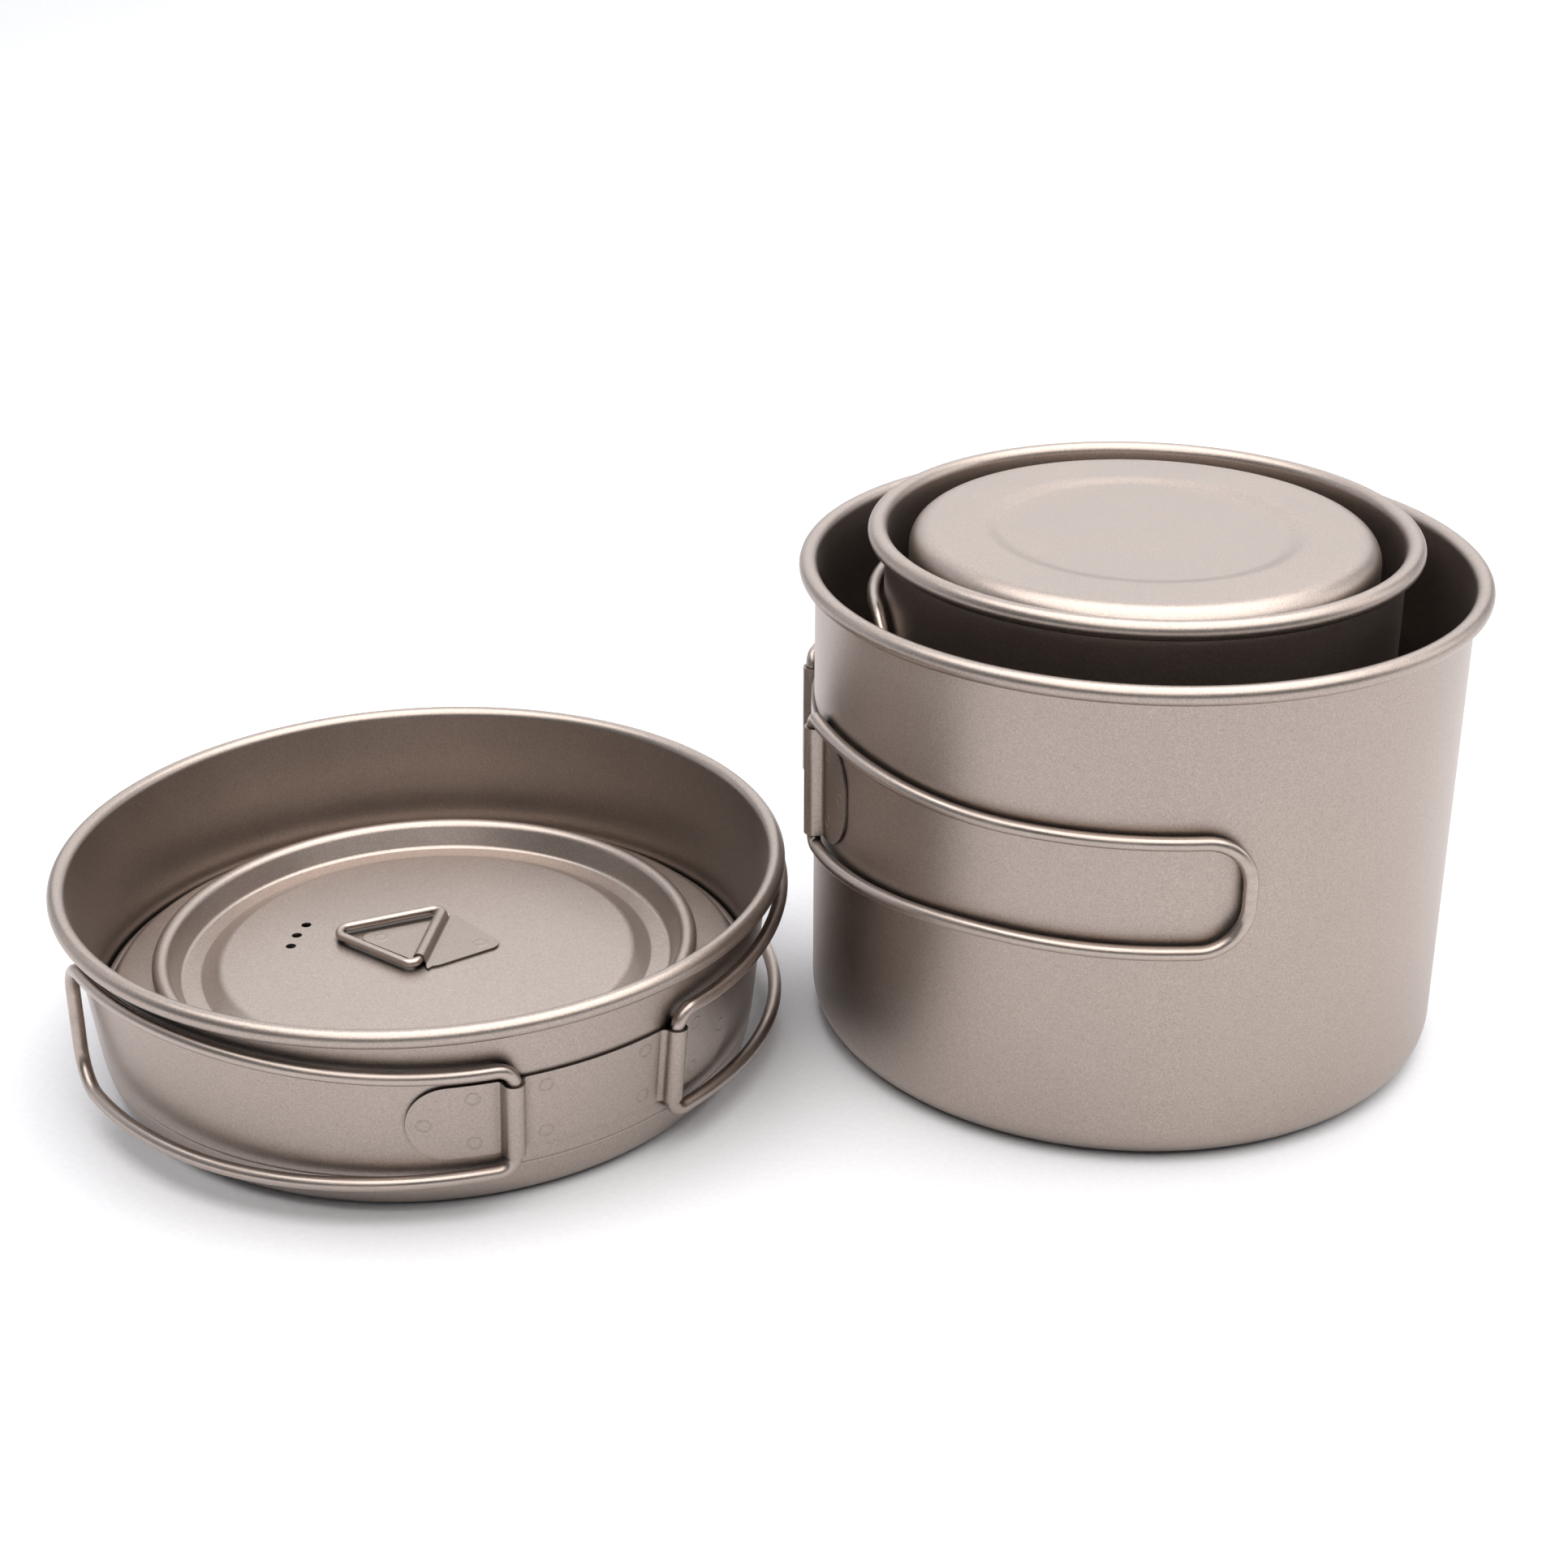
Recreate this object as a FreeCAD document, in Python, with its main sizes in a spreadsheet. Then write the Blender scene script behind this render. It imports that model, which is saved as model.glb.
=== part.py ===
import FreeCAD, Part
import Sketcher
import math
import os

# Nesting titanium cooking pot set, modelled in millimetres.
# Row frame: origin at the centre of the large pot's base, +Z up, +X from the pan towards the large pot.
# The large pot stands beside the frying pan. The middle pot stands in the large pot, the cup is upside
# down in the middle pot, the wide lid is upside down in the pan, and the vented lid lies on the wide lid.

DIMENSIONS = {
    # sheet and wire stock
    "gauge": 0.5,
    "strap_gauge": 0.6,
    "pivot_play": 0.05,
    "rest_gap": 0.05,
    "curl_end": 248,
    # vessels: rim curl centre radius and height, curl radius, base corner radius, wall flare in degrees
    "large_rim": 72.0, "large_height": 107.2, "large_curl": 2.0, "large_corner": 7.8, "large_flare": 0,
    "middle_rim": 57.1, "middle_height": 114.05, "middle_curl": 2.1, "middle_corner": 7.5, "middle_flare": 0,
    "cup_rim": 51.5, "cup_height": 111.25, "cup_curl": 1.7, "cup_corner": 4.8, "cup_flare": 0,
    "pan_rim": 78.0, "pan_height": 45.2, "pan_curl": 1.95, "pan_corner": 7.9, "pan_flare": 6.4,
    "wide_rim": 70.8, "wide_height": 4.0, "wide_curl": 1.6, "wide_corner": 1.9, "wide_flare": 0,
    # pressed recess in the cup's base
    "recess_inner": 30.9, "recess_outer": 33.9, "recess_depth": 0.9,
    # vented lid: rim curl, channel, raised middle and its press bends
    "lid_rim": 58.2, "lid_height": 4.25, "lid_curl": 2.0, "lid_flare": 24,
    "lid_channel": 49.9, "lid_plateau": 45.6, "lid_rise": 2.95, "lid_bend": 1.2,
    "vent_radius": 1.15, "vent_circle": 30.7, "vent_azimuth": 170.0, "vent_pitch": 9.5,
    # places of the pieces in the set
    "pan_x": -156.9, "pan_y": -16.9,
    "wide_face_z": 19.6,
    "cup_base_z": 115.9,
    # straps with rolled barrels: azimuth, half angle to a barrel, half angle to the end, height, mid height
    "large_strap_azimuth": 180, "large_barrel_angle": 13.3, "large_tab_angle": 25.2,
    "large_strap_height": 25.3, "large_strap_z": 63.9, "large_tab_round": 10.5,
    "middle_strap_azimuth": 106, "middle_barrel_angle": 16.8, "middle_tab_angle": 31.8,
    "middle_strap_height": 20.0, "middle_strap_z": 87.3, "middle_tab_round": 9.9,
    "cup_strap_azimuth": -45, "cup_barrel_angle": 16.0, "cup_tab_angle": 30.0,
    "cup_strap_height": 18.0, "cup_strap_z": 78.0, "cup_tab_round": 8.9,
    "pan_strap_azimuth": -55.6, "pan_barrel_angle": 14.2, "pan_tab_angle": 30.6,
    "pan_strap_height": 17.7, "pan_strap_z": 23.05, "pan_tab_round": 8.7,
    # spot weld rings: ring radius, radius and depth of the groove
    "weld_ring": 1.3, "weld_groove": 0.3, "weld_depth": 0.12,
    # handles: wire radius, half height at the hinge and at the end, sweep in degrees, end corner radius,
    # taper length, rise of the middle from hinge to end, and how far the end stands out from the wall
    "large_wire": 1.5, "large_loop_hinge": 15.0, "large_loop_end": 12.2,
    "large_sweep": 88.6, "large_loop_corner": 10.0, "large_taper": 62.0, "large_loop_rise": 0,
    "middle_wire": 1.5, "middle_loop_hinge": 13.4, "middle_loop_end": 12.2,
    "middle_sweep": 72.7, "middle_loop_corner": 10.0, "middle_taper": 30.0, "middle_loop_rise": 0,
    "cup_wire": 1.25, "cup_loop_hinge": 12.0, "cup_loop_end": 11.0,
    "cup_sweep": 84.0, "cup_loop_corner": 9.0, "cup_taper": 25.0, "cup_loop_rise": 0,
    "pan_wire": 1.5, "pan_loop_hinge": 12.6, "pan_loop_end": 14.5,
    "pan_sweep": 83.0, "pan_loop_corner": 8.0, "pan_taper": 70.0,
    "pan_loop_rise": 2.0, "pan_left_standoff": 1.7, "pan_right_standoff": 4.0,
    # bail on the vented lid, and the sheet diamond that holds it, measured before its corners are rounded
    "bail_wire": 1.0, "bail_reach": 23.6, "bail_half": 14.0, "bail_corner": 1.3, "bail_apex_corner": 3.0,
    "bail_x": 0.4, "bail_y": 2.2, "bail_azimuth": 173.5,
    "bail_strap_long": 16.9, "bail_strap_short": 12.9, "bail_strap_corner": 2.5, "bail_strap_gauge": 0.4,
    "bail_barrel_half": 11.3, "bail_weld": 11.3,
}

SWEEP_STRETCHES = 24

doc = FreeCAD.newDocument("pot_set")
sheet = doc.addObject("Spreadsheet::Sheet", "dims")
for row, (alias, value) in enumerate(DIMENSIONS.items(), start=1):
    sheet.set("A%d" % row, alias)
    sheet.set("B%d" % row, str(value))
    sheet.setAlias("B%d" % row, alias)
doc.recompute()

nodes = []


def size(alias):
    """Value of one cell of the sheet."""
    return float(sheet.get(alias))


def cell(alias):
    """Name of one cell, for use in an expression."""
    return "dims." + alias


def add_node(obj, name, placement=None):
    """Names a finished sub-part and puts it in its place in the set."""
    obj.Label = name
    if placement is not None:
        obj.Placement = placement
    nodes.append(obj)
    return obj


def standing(x, y, z):
    return FreeCAD.Placement(FreeCAD.Vector(x, y, z), FreeCAD.Rotation())


def upside_down(x, y, z):
    return FreeCAD.Placement(FreeCAD.Vector(x, y, z), FreeCAD.Rotation(FreeCAD.Vector(1, 0, 0), 180))


def new_body(name):
    body = doc.addObject("PartDesign::Body", name)
    body.Label = name
    return body


def plane_of(body, role):
    return next(f for f in body.Origin.OriginFeatures if f.Role == role)


def new_sketch(body, name, role):
    sketch = body.newObject("Sketcher::SketchObject", name)
    sketch.AttachmentSupport = [(plane_of(body, role), "")]
    sketch.MapMode = "FlatFace"
    return sketch


def bind(sketch, constraint, expression):
    """Adds a dimension whose value comes from an expression over the sheet."""
    index = sketch.addConstraint(constraint)
    sketch.setExpression("Constraints[%d]" % index, expression)


def draw_outline(sketch, corners, arcs):
    """Closed outline. corners are pairs of expressions; arcs maps an edge's index to its radius, the
    expressions of its centre, and True where it runs clockwise."""
    points = []
    for x_expr, y_expr in corners:
        x = float(sketch.evalExpression(x_expr))
        y = float(sketch.evalExpression(y_expr))
        points.append(FreeCAD.Vector(x, y, 0))
    ends = []
    for i, start in enumerate(points):
        stop = points[(i + 1) % len(points)]
        if i in arcs:
            radius_expr, centre_exprs, clockwise = arcs[i]
            centre = FreeCAD.Vector(*[float(sketch.evalExpression(e)) for e in centre_exprs], 0)
            radius = (start - centre).Length
            a0 = math.atan2(start.y - centre.y, start.x - centre.x)
            a1 = math.atan2(stop.y - centre.y, stop.x - centre.x)
            if clockwise:
                a0, a1 = a1, a0
            if a1 <= a0:
                a1 += 2 * math.pi
            circle = Part.Circle(centre, FreeCAD.Vector(0, 0, 1), radius)
            edge = sketch.addGeometry(Part.ArcOfCircle(circle, a0, a1), False)
            ends.append((edge, 2, 1) if clockwise else (edge, 1, 2))
            bind(sketch, Sketcher.Constraint("Radius", edge, radius), radius_expr)
        else:
            edge = sketch.addGeometry(Part.LineSegment(start, stop), False)
            ends.append((edge, 1, 2))
    for i, (edge, first, last) in enumerate(ends):
        following, next_first, next_last = ends[(i + 1) % len(ends)]
        sketch.addConstraint(Sketcher.Constraint("Coincident", edge, last, following, next_first))
    for (edge, first, last), (x_expr, y_expr), point in zip(ends, corners, points):
        if abs(point.x) < 1e-9:
            sketch.addConstraint(Sketcher.Constraint("PointOnObject", edge, first, -2))
        else:
            bind(sketch, Sketcher.Constraint("DistanceX", -1, 1, edge, first, point.x), x_expr)
        if abs(point.y) < 1e-9:
            sketch.addConstraint(Sketcher.Constraint("PointOnObject", edge, first, -1))
        else:
            bind(sketch, Sketcher.Constraint("DistanceY", -1, 1, edge, first, point.y), y_expr)


def revolve(body, sketch, angle=360, midplane=False):
    turn = body.newObject("PartDesign::Revolution", sketch.Name + "Turn")
    turn.Profile = sketch
    turn.ReferenceAxis = (sketch, ["V_Axis"])
    turn.Angle = angle
    turn.Midplane = midplane
    return turn


def curl_corners(p):
    """Rim curl of vessel or lid p: its four corners, in the order outside start, outside end,
    tip and inside start, with the two arcs between them."""
    rim, high, curl, flare = [cell(p + key) for key in ("_rim", "_height", "_curl", "_flare")]
    inner = "(%s - dims.gauge)" % curl
    centre = (rim, high)

    def around(radius, cosine, sine):
        return ("%s + %s * %s" % (rim, radius, cosine), "%s + %s * %s" % (high, radius, sine))

    corners = [
        around(inner, "(-cos(%s))" % flare, "sin(%s)" % flare),
        around(inner, "cos(dims.curl_end)", "sin(dims.curl_end)"),
        around(curl, "cos(dims.curl_end)", "sin(dims.curl_end)"),
        around(curl, "(-cos(%s))" % flare, "sin(%s)" % flare),
    ]
    return corners, (inner, centre, True), (curl, centre, False)


def wall_radius(p, z):
    """Outer radius of the straight wall of vessel p at height z above its own base."""
    flare = math.radians(size(p + "_flare"))
    inner = size(p + "_curl") - size("gauge")
    x = size(p + "_rim") - inner * math.cos(flare)
    y = size(p + "_height") + inner * math.sin(flare)
    return x + (z - y) * math.tan(flare)


def vessel(p, name, placement=None, recess=False):
    """Drawn sheet vessel: flat base, rounded base corner, straight wall and rolled rim."""
    rim, high, corner, flare = [cell(p + key) for key in ("_rim", "_height", "_corner", "_flare")]
    inner = "(%s - dims.gauge)" % cell(p + "_curl")
    base = "((%s * cos(%s) - %s * sin(%s) - %s - %s + %s * sin(%s)) / cos(%s))" % (
        rim, flare, high, flare, inner, corner, corner, flare, flare)
    lining = "(%s - dims.gauge)" % corner
    turn_centre = (base, corner)
    curl, outside_arc, inside_arc = curl_corners(p)

    def on_corner(radius):
        return ("%s + %s * cos(%s)" % (base, radius, flare), "%s - %s * sin(%s)" % (corner, radius, flare))

    outside = [("0", "0"), (base, "0")]
    inside = [(base, "dims.gauge"), ("0", "dims.gauge")]
    if recess:
        outside = [("0", "dims.recess_depth"), ("dims.recess_inner", "dims.recess_depth"),
                   ("dims.recess_outer", "0"), (base, "0")]
        inside = [(base, "dims.gauge"), ("dims.recess_outer", "dims.gauge"),
                  ("dims.recess_inner", "dims.recess_depth + dims.gauge"),
                  ("0", "dims.recess_depth + dims.gauge")]
    corners = outside + [on_corner(corner)] + curl + [on_corner(lining)] + inside
    first_arc = len(outside) - 1
    arcs = {
        first_arc: (corner, turn_centre, False),
        first_arc + 2: outside_arc,
        first_arc + 4: inside_arc,
        first_arc + 6: (lining, turn_centre, True),
    }
    body = new_body(name)
    sketch = new_sketch(body, name + "_outline", "XZ_Plane")
    draw_outline(sketch, corners, arcs)
    revolve(body, sketch)
    return add_node(body, name, placement)


def ring_edges(shape, places):
    """Names of the circular edges at each (radius, z)."""
    names = []
    for index, edge in enumerate(shape.Edges, start=1):
        if not isinstance(edge.Curve, Part.Circle):
            continue
        for radius, z in places:
            if abs(edge.Curve.Radius - radius) < 0.01 and abs(edge.Curve.Center.z - z) < 0.01:
                names.append("Edge%d" % index)
    return names


def fillet(body, base, names, radius_expr):
    rounded = body.newObject("PartDesign::Fillet", "Bend")
    rounded.Base = (base, names)
    rounded.setExpression("Radius", radius_expr)
    body.Tip = rounded
    doc.recompute()
    return rounded


def vented_lid(name, placement):
    """Pressed lid: rolled rim, channel that drops into a pot's mouth, and a raised middle with vents."""
    curl, outside_arc, inside_arc = curl_corners("lid")
    lean = "dims.gauge * tan(atan((dims.lid_rise - dims.gauge) / (dims.lid_channel - dims.lid_plateau)) / 2)"
    inner = "(dims.lid_curl - dims.gauge)"
    foot = "dims.lid_rim - %s * cos(dims.lid_flare) - (dims.lid_height + %s * sin(dims.lid_flare)%s)" \
           " * tan(dims.lid_flare)"
    foot_below = foot % (inner, inner, "")
    foot_above = foot % ("dims.lid_curl", "dims.lid_curl", " - dims.gauge")
    corners = [
        ("0", "dims.lid_rise - dims.gauge"),
        ("dims.lid_plateau - " + lean, "dims.lid_rise - dims.gauge"),
        ("dims.lid_channel - " + lean, "0"),
        (foot_below, "0"),
    ] + curl + [
        (foot_above, "dims.gauge"),
        ("dims.lid_channel", "dims.gauge"),
        ("dims.lid_plateau", "dims.lid_rise"),
        ("0", "dims.lid_rise"),
    ]
    body = new_body(name)
    sketch = new_sketch(body, name + "_outline", "XZ_Plane")
    draw_outline(sketch, corners, {4: outside_arc, 6: inside_arc})
    turn = revolve(body, sketch)
    doc.recompute()
    at = [(float(sketch.evalExpression(x)), float(sketch.evalExpression(y))) for x, y in corners]
    tight = fillet(body, turn, ring_edges(turn.Shape, [at[1], at[8], at[9]]), cell("lid_bend"))
    wide_bends = ring_edges(tight.Shape, [at[2], at[3], at[10]])
    fillet(body, tight, wide_bends, "dims.lid_bend + dims.gauge")
    vents = new_sketch(body, name + "_vents", "XY_Plane")
    for step in (-1, 0, 1):
        angle = "dims.vent_azimuth %+d * dims.vent_pitch" % step
        x_expr = "dims.vent_circle * cos(%s)" % angle
        y_expr = "dims.vent_circle * sin(%s)" % angle
        x = float(vents.evalExpression(x_expr))
        y = float(vents.evalExpression(y_expr))
        circle = Part.Circle(FreeCAD.Vector(x, y, 0), FreeCAD.Vector(0, 0, 1), size("vent_radius"))
        edge = vents.addGeometry(circle, False)
        bind(vents, Sketcher.Constraint("Radius", edge, size("vent_radius")), cell("vent_radius"))
        bind(vents, Sketcher.Constraint("DistanceX", -1, 1, edge, 3, x), x_expr)
        bind(vents, Sketcher.Constraint("DistanceY", -1, 1, edge, 3, y), y_expr)
    cut = body.newObject("PartDesign::Pocket", name + "_vent_cut")
    cut.Profile = vents
    cut.Type = "ThroughAll"
    cut.Midplane = True
    body.Tip = cut
    return add_node(body, name, placement)


def barrel_radius(p):
    """Outer radius of a barrel rolled round the wire of vessel p's handles."""
    return size(p + "_wire") + size("pivot_play") + size("strap_gauge")


def hinge_radius(p):
    """Distance from the vessel's axis to a barrel's axis at the strap's mid height."""
    flare = math.radians(size(p + "_flare"))
    return wall_radius(p, size(p + "_strap_z")) + (barrel_radius(p) + size("rest_gap")) / math.cos(flare)


def along_wall(p, azimuth, radius, z):
    """Placement at an azimuth whose Z axis runs up the flared wall."""
    turn = FreeCAD.Rotation(FreeCAD.Vector(0, 0, 1), azimuth)
    lean = FreeCAD.Rotation(FreeCAD.Vector(0, 1, 0), size(p + "_flare"))
    base = turn.multVec(FreeCAD.Vector(radius, 0, z))
    return FreeCAD.Placement(base, turn.multiply(lean))


def weld_places(p):
    """Azimuth and height of each spot weld: three on each tab, two beside each barrel inside the strap."""
    barrel = size(p + "_barrel_angle")
    tab = size(p + "_tab_angle")
    half = size(p + "_strap_height") / 2
    near = barrel + 0.37 * (tab - barrel)
    tip = barrel + 0.83 * (tab - barrel)
    inside = 0.64 * barrel
    places = []
    for side in (-1, 1):
        places += [(side * near, 0.62 * half), (side * near, -0.62 * half), (side * tip, 0)]
        places += [(side * inside, 0.64 * half), (side * inside, -0.64 * half)]
    return places


def weld_ring(body, name, place):
    """Ring pressed in by a spot welding electrode, round the Z axis of place on the sheet's surface."""
    lift = size("weld_groove") - size("weld_depth")
    ring = body.newObject("PartDesign::SubtractiveTorus", name + "_weld")
    ring.setExpression("Radius1", cell("weld_ring"))
    ring.setExpression("Radius2", cell("weld_groove"))
    ring.Placement = place.multiply(FreeCAD.Placement(FreeCAD.Vector(0, 0, lift), FreeCAD.Rotation()))
    body.Tip = ring


def round_tab(body, p, name, side):
    """Cuts the two corners off one end of a strap, which leaves a rounded tab."""
    sketch = new_sketch(body, name + "_corners", "YZ_Plane")
    turn = FreeCAD.Rotation(FreeCAD.Vector(0, 1, 0), side * size(p + "_tab_angle"))
    sketch.AttachmentOffset = FreeCAD.Placement(FreeCAD.Vector(), turn)
    half = "dims.%s_strap_height / 2" % p
    radius = cell(p + "_tab_round")
    for up in (-1, 1):
        x = "%d * %s" % (-side, radius)
        clear = "%d" % side
        corners = [
            ("0", "%d * (%s - %s)" % (up, half, radius)),
            (x, "%d * %s" % (up, half)),
            (x, "%d * (%s + 1)" % (up, half)),
            (clear, "%d * (%s + 1)" % (up, half)),
            (clear, "%d * (%s - %s)" % (up, half, radius)),
        ]
        centre = (x, "%d * (%s - %s)" % (up, half, radius))
        draw_outline(sketch, corners, {0: (radius, centre, up * side < 0)})
    cut = body.newObject("PartDesign::Pocket", name + "_corner_cut")
    cut.Profile = sketch
    cut.Type = "ThroughAll"
    cut.Reversed = True
    body.Tip = cut


def strap(p, name, placement):
    """One strip of sheet spot welded to the wall, with two barrels rolled in it for the handle wires."""
    z0 = size(p + "_strap_z")
    half = size(p + "_strap_height") / 2
    body = new_body(name)
    sketch = new_sketch(body, name + "_outline", "XZ_Plane")
    offset = "dims.strap_gauge / cos(%s)" % cell(p + "_flare")
    wall = "(%s - (dims.%s_curl - dims.gauge) * cos(%s))" % (cell(p + "_rim"), p, cell(p + "_flare"))
    knee = "(%s + (dims.%s_curl - dims.gauge) * sin(%s))" % (cell(p + "_height"), p, cell(p + "_flare"))
    height = cell(p + "_strap_height")
    low = "%s + (dims.%s_strap_z - %s / 2 - %s) * tan(%s)" % (wall, p, height, knee, cell(p + "_flare"))
    high = "%s + (dims.%s_strap_z + %s / 2 - %s) * tan(%s)" % (wall, p, height, knee, cell(p + "_flare"))
    corners = [
        (low, "-%s / 2" % height),
        (low + " + " + offset, "-%s / 2" % height),
        (high + " + " + offset, "%s / 2" % height),
        (high, "%s / 2" % height),
    ]
    draw_outline(sketch, corners, {})
    turn = revolve(body, sketch, 2 * size(p + "_tab_angle"), True)
    turn.setExpression("Angle", "2 * " + cell(p + "_tab_angle"))
    for side in (-1, 1):
        round_tab(body, p, name, side)
    for side in (-1, 1):
        azimuth = side * size(p + "_barrel_angle")
        lean = math.cos(math.radians(size(p + "_flare")))
        tilt = math.radians(size(p + "_flare"))
        drop = half / lean
        low_radius = hinge_radius(p) - drop * math.sin(tilt)
        roll = body.newObject("PartDesign::AdditiveCylinder", name + "_barrel")
        roll.setExpression("Radius", "dims.%s_wire + dims.pivot_play + dims.strap_gauge" % p)
        roll.setExpression("Height", "%s / cos(%s)" % (height, cell(p + "_flare")))
        roll.Placement = along_wall(p, azimuth, low_radius, -drop * lean)
        bore = body.newObject("PartDesign::SubtractiveCylinder", name + "_bore")
        bore.setExpression("Radius", "dims.%s_wire + dims.pivot_play" % p)
        bore.setExpression("Height", "2 * " + height)
        bore.Placement = along_wall(p, azimuth, low_radius - drop * math.sin(tilt), -2 * drop * lean)
        body.Tip = bore
    facing = FreeCAD.Placement(FreeCAD.Vector(), FreeCAD.Rotation(FreeCAD.Vector(0, 1, 0), 90))
    for azimuth, z in weld_places(p):
        surface = wall_radius(p, z0 + z) + size("strap_gauge")
        weld_ring(body, name, along_wall(p, azimuth, surface, z).multiply(facing))
    return add_node(body, name, placement)


def smooth(x):
    """Eases from 0 to 1."""
    x = min(max(x, 0.0), 1.0)
    return x * x * (3 - 2 * x)


def loop_outline(p, length):
    """Upper half of a handle's centre line, laid flat: distance along the wall, height over the middle."""
    barrel_end = size(p + "_strap_height") / 2
    at_hinge = size(p + "_loop_hinge")
    at_end = size(p + "_loop_end")
    corner = size(p + "_loop_corner")
    bend = at_hinge - barrel_end
    points = [(0.0, barrel_end * share) for share in (0.05, 0.35, 0.65, 0.85)]
    for step in range(5):
        angle = math.radians(180 - 22.5 * step)
        points.append((bend + bend * math.cos(angle), barrel_end + bend * math.sin(angle)))
    leg = length - corner - bend
    count = 12
    for step in range(1, count + 1):
        s = bend + leg * step / count
        ease = smooth((s - bend) / size(p + "_taper"))
        points.append((s, at_hinge + (at_end - at_hinge) * ease))
    for step in range(1, 6):
        angle = math.radians(90 - 18 * step)
        points.append((length - corner + corner * math.cos(angle), at_end - corner + corner * math.sin(angle)))
    return points


def handle(p, name, placement, side, standoff=0.0):
    """Bent wire loop whose two ends meet inside a barrel. side is +1 where it runs on past the
    strap's larger azimuth, -1 past the smaller; standoff is how far its end stands out from the wall."""
    axis_radius = hinge_radius(p)
    length = axis_radius * math.radians(size(p + "_sweep"))
    flare = math.tan(math.radians(size(p + "_flare")))
    hinge = side * math.radians(size(p + "_barrel_angle"))

    def wrap(s, z):
        azimuth = hinge + side * s / axis_radius
        share = s / length
        radius = axis_radius + standoff * share + z * flare * (1 - smooth(share))
        height = z + size(p + "_loop_rise") * smooth(share)
        return FreeCAD.Vector(radius * math.cos(azimuth), radius * math.sin(azimuth), height)

    upper = loop_outline(p, length)
    lower = [(s, -z) for s, z in reversed(upper)]
    path = [wrap(s, z) for s, z in upper + [(length, 0.0)] + lower]
    curve = Part.BSplineCurve()
    curve.interpolate(Points=path)
    start, stop = curve.FirstParameter, curve.LastParameter
    # the sweep is exact along short stretches only
    cuts = [start + (stop - start) * step / SWEEP_STRETCHES for step in range(SWEEP_STRETCHES + 1)]
    spine = Part.Wire([curve.toShape(a, b) for a, b in zip(cuts, cuts[1:])])
    section = Part.Wire([Part.makeCircle(size(p + "_wire"), path[0], curve.tangent(start)[0])])
    wire = doc.addObject("Part::Feature", name)
    wire.Shape = spine.makePipeShell([section], True, False)
    return add_node(wire, name, placement)


def lid_frame(height):
    """Placement of the bail's own frame: X towards its apex, Y along its barrel."""
    base = FreeCAD.Vector(size("pan_x") + size("bail_x"), size("pan_y") + size("bail_y"), height)
    return FreeCAD.Placement(base, FreeCAD.Rotation(FreeCAD.Vector(0, 0, 1), size("bail_azimuth")))


def bail_axis_height():
    """Height of the bail's barrel axis over the raised middle of the lid."""
    return size("bail_wire") + size("pivot_play") + size("bail_strap_gauge")


def bail(name, placement):
    """Triangular wire bail that lies flat on the lid and folds up about its barrel."""
    body = new_body(name)
    path = new_sketch(body, name + "_path", "XY_Plane")
    half = size("bail_half")
    reach = size("bail_reach")
    corners = [(0, 0.4), (0, half), (reach, 0), (0, -half), (0, -0.4)]
    radii = [None, size("bail_corner"), size("bail_apex_corner"), size("bail_corner"), None]
    points = [FreeCAD.Vector(x, y, 0) for x, y in corners]
    edges = []
    start = points[0]
    for i in range(1, len(points) - 1):
        back = (points[i - 1] - points[i]).normalize()
        ahead = (points[i + 1] - points[i]).normalize()
        turn = back.getAngle(ahead)
        reach_back = radii[i] / math.tan(turn / 2)
        first = points[i] + back * reach_back
        last = points[i] + ahead * reach_back
        centre = points[i] + (back + ahead).normalize() * (radii[i] / math.sin(turn / 2))
        middle = centre + (points[i] - centre).normalize() * radii[i]
        edges.append(Part.LineSegment(start, first))
        edges.append(Part.Arc(first, middle, last))
        start = last
    edges.append(Part.LineSegment(start, points[-1]))
    path.addGeometry(edges, False)
    section = new_sketch(body, name + "_section", "XZ_Plane")
    section.AttachmentOffset = FreeCAD.Placement(FreeCAD.Vector(0, 0, -points[0].y), FreeCAD.Rotation())
    ring = section.addGeometry(Part.Circle(FreeCAD.Vector(), FreeCAD.Vector(0, 0, 1), size("bail_wire")), False)
    section.addConstraint(Sketcher.Constraint("Coincident", ring, 3, -1, 1))
    bind(section, Sketcher.Constraint("Radius", ring, size("bail_wire")), cell("bail_wire"))
    doc.recompute()
    pipe = body.newObject("PartDesign::AdditivePipe", name + "_pipe")
    pipe.Profile = section
    pipe.Spine = (path, ["Edge%d" % (i + 1) for i in range(len(edges))])
    body.Tip = pipe
    return add_node(body, name, placement)


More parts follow.
